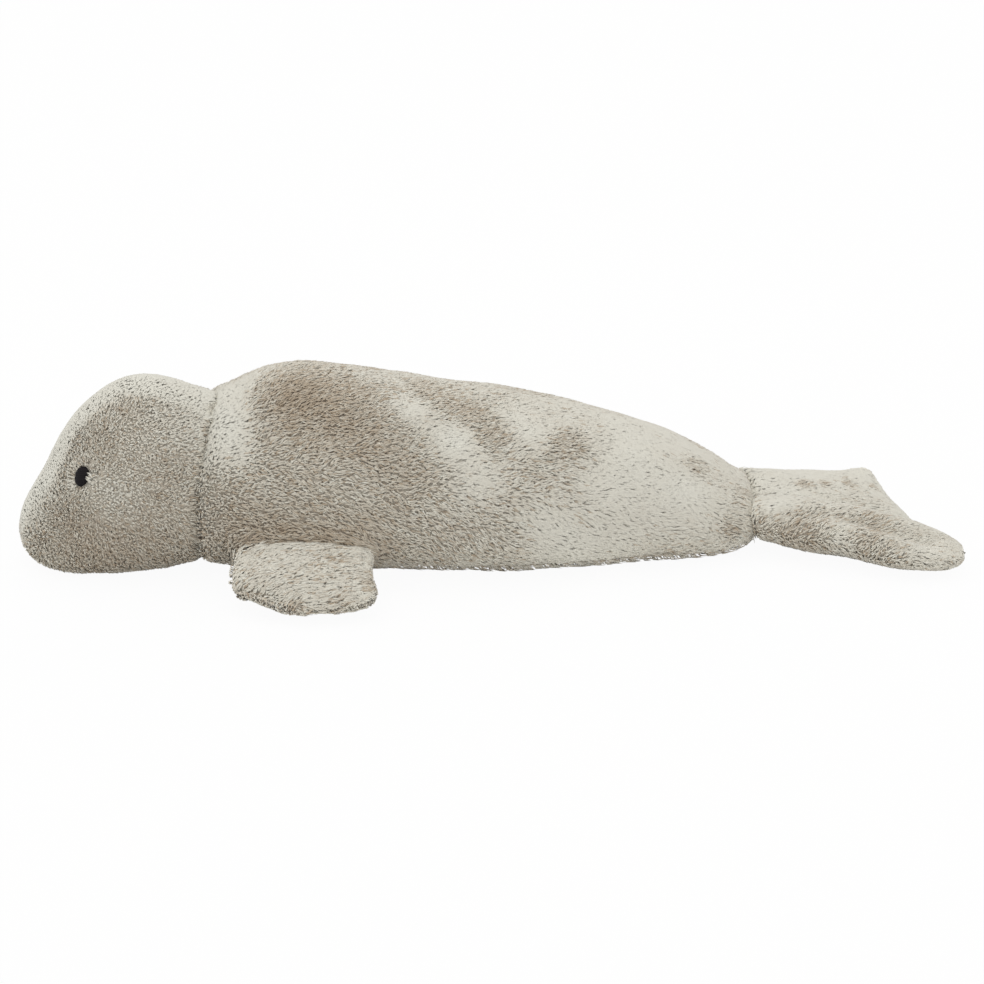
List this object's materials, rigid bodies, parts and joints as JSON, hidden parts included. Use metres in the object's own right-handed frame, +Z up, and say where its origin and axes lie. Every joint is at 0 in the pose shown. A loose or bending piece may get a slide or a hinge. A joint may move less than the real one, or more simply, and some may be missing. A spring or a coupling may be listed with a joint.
{
  "type": "plush seal",
  "caption": "Floppy stuffed seal lying on its belly, with a rounded head, stitched eyes, squarish fore flippers and a forked tail of hind flippers, in curly plush.",
  "frame": {"origin": "middle of the footprint, on the plane that the seal lies on", "axes": "+X runs from the snout to the tail, so the seal looks along -X; its left side faces -Y; +Z is up"},
  "size_m": [0.498, 0.216, 0.1001],
  "materials": {
    "plush": "curly greige long pile, paler at the tips than at the roots",
    "thread": "near-black satin stitch"
  },
  "bodies": {
    "root": {"torso": "plush", "head": "plush", "left_fore_flipper": "plush", "right_fore_flipper": "plush", "left_hind_flipper": "plush", "right_hind_flipper": "plush", "left_eye": "thread", "right_eye": "thread"}
  },
  "joints": []
}
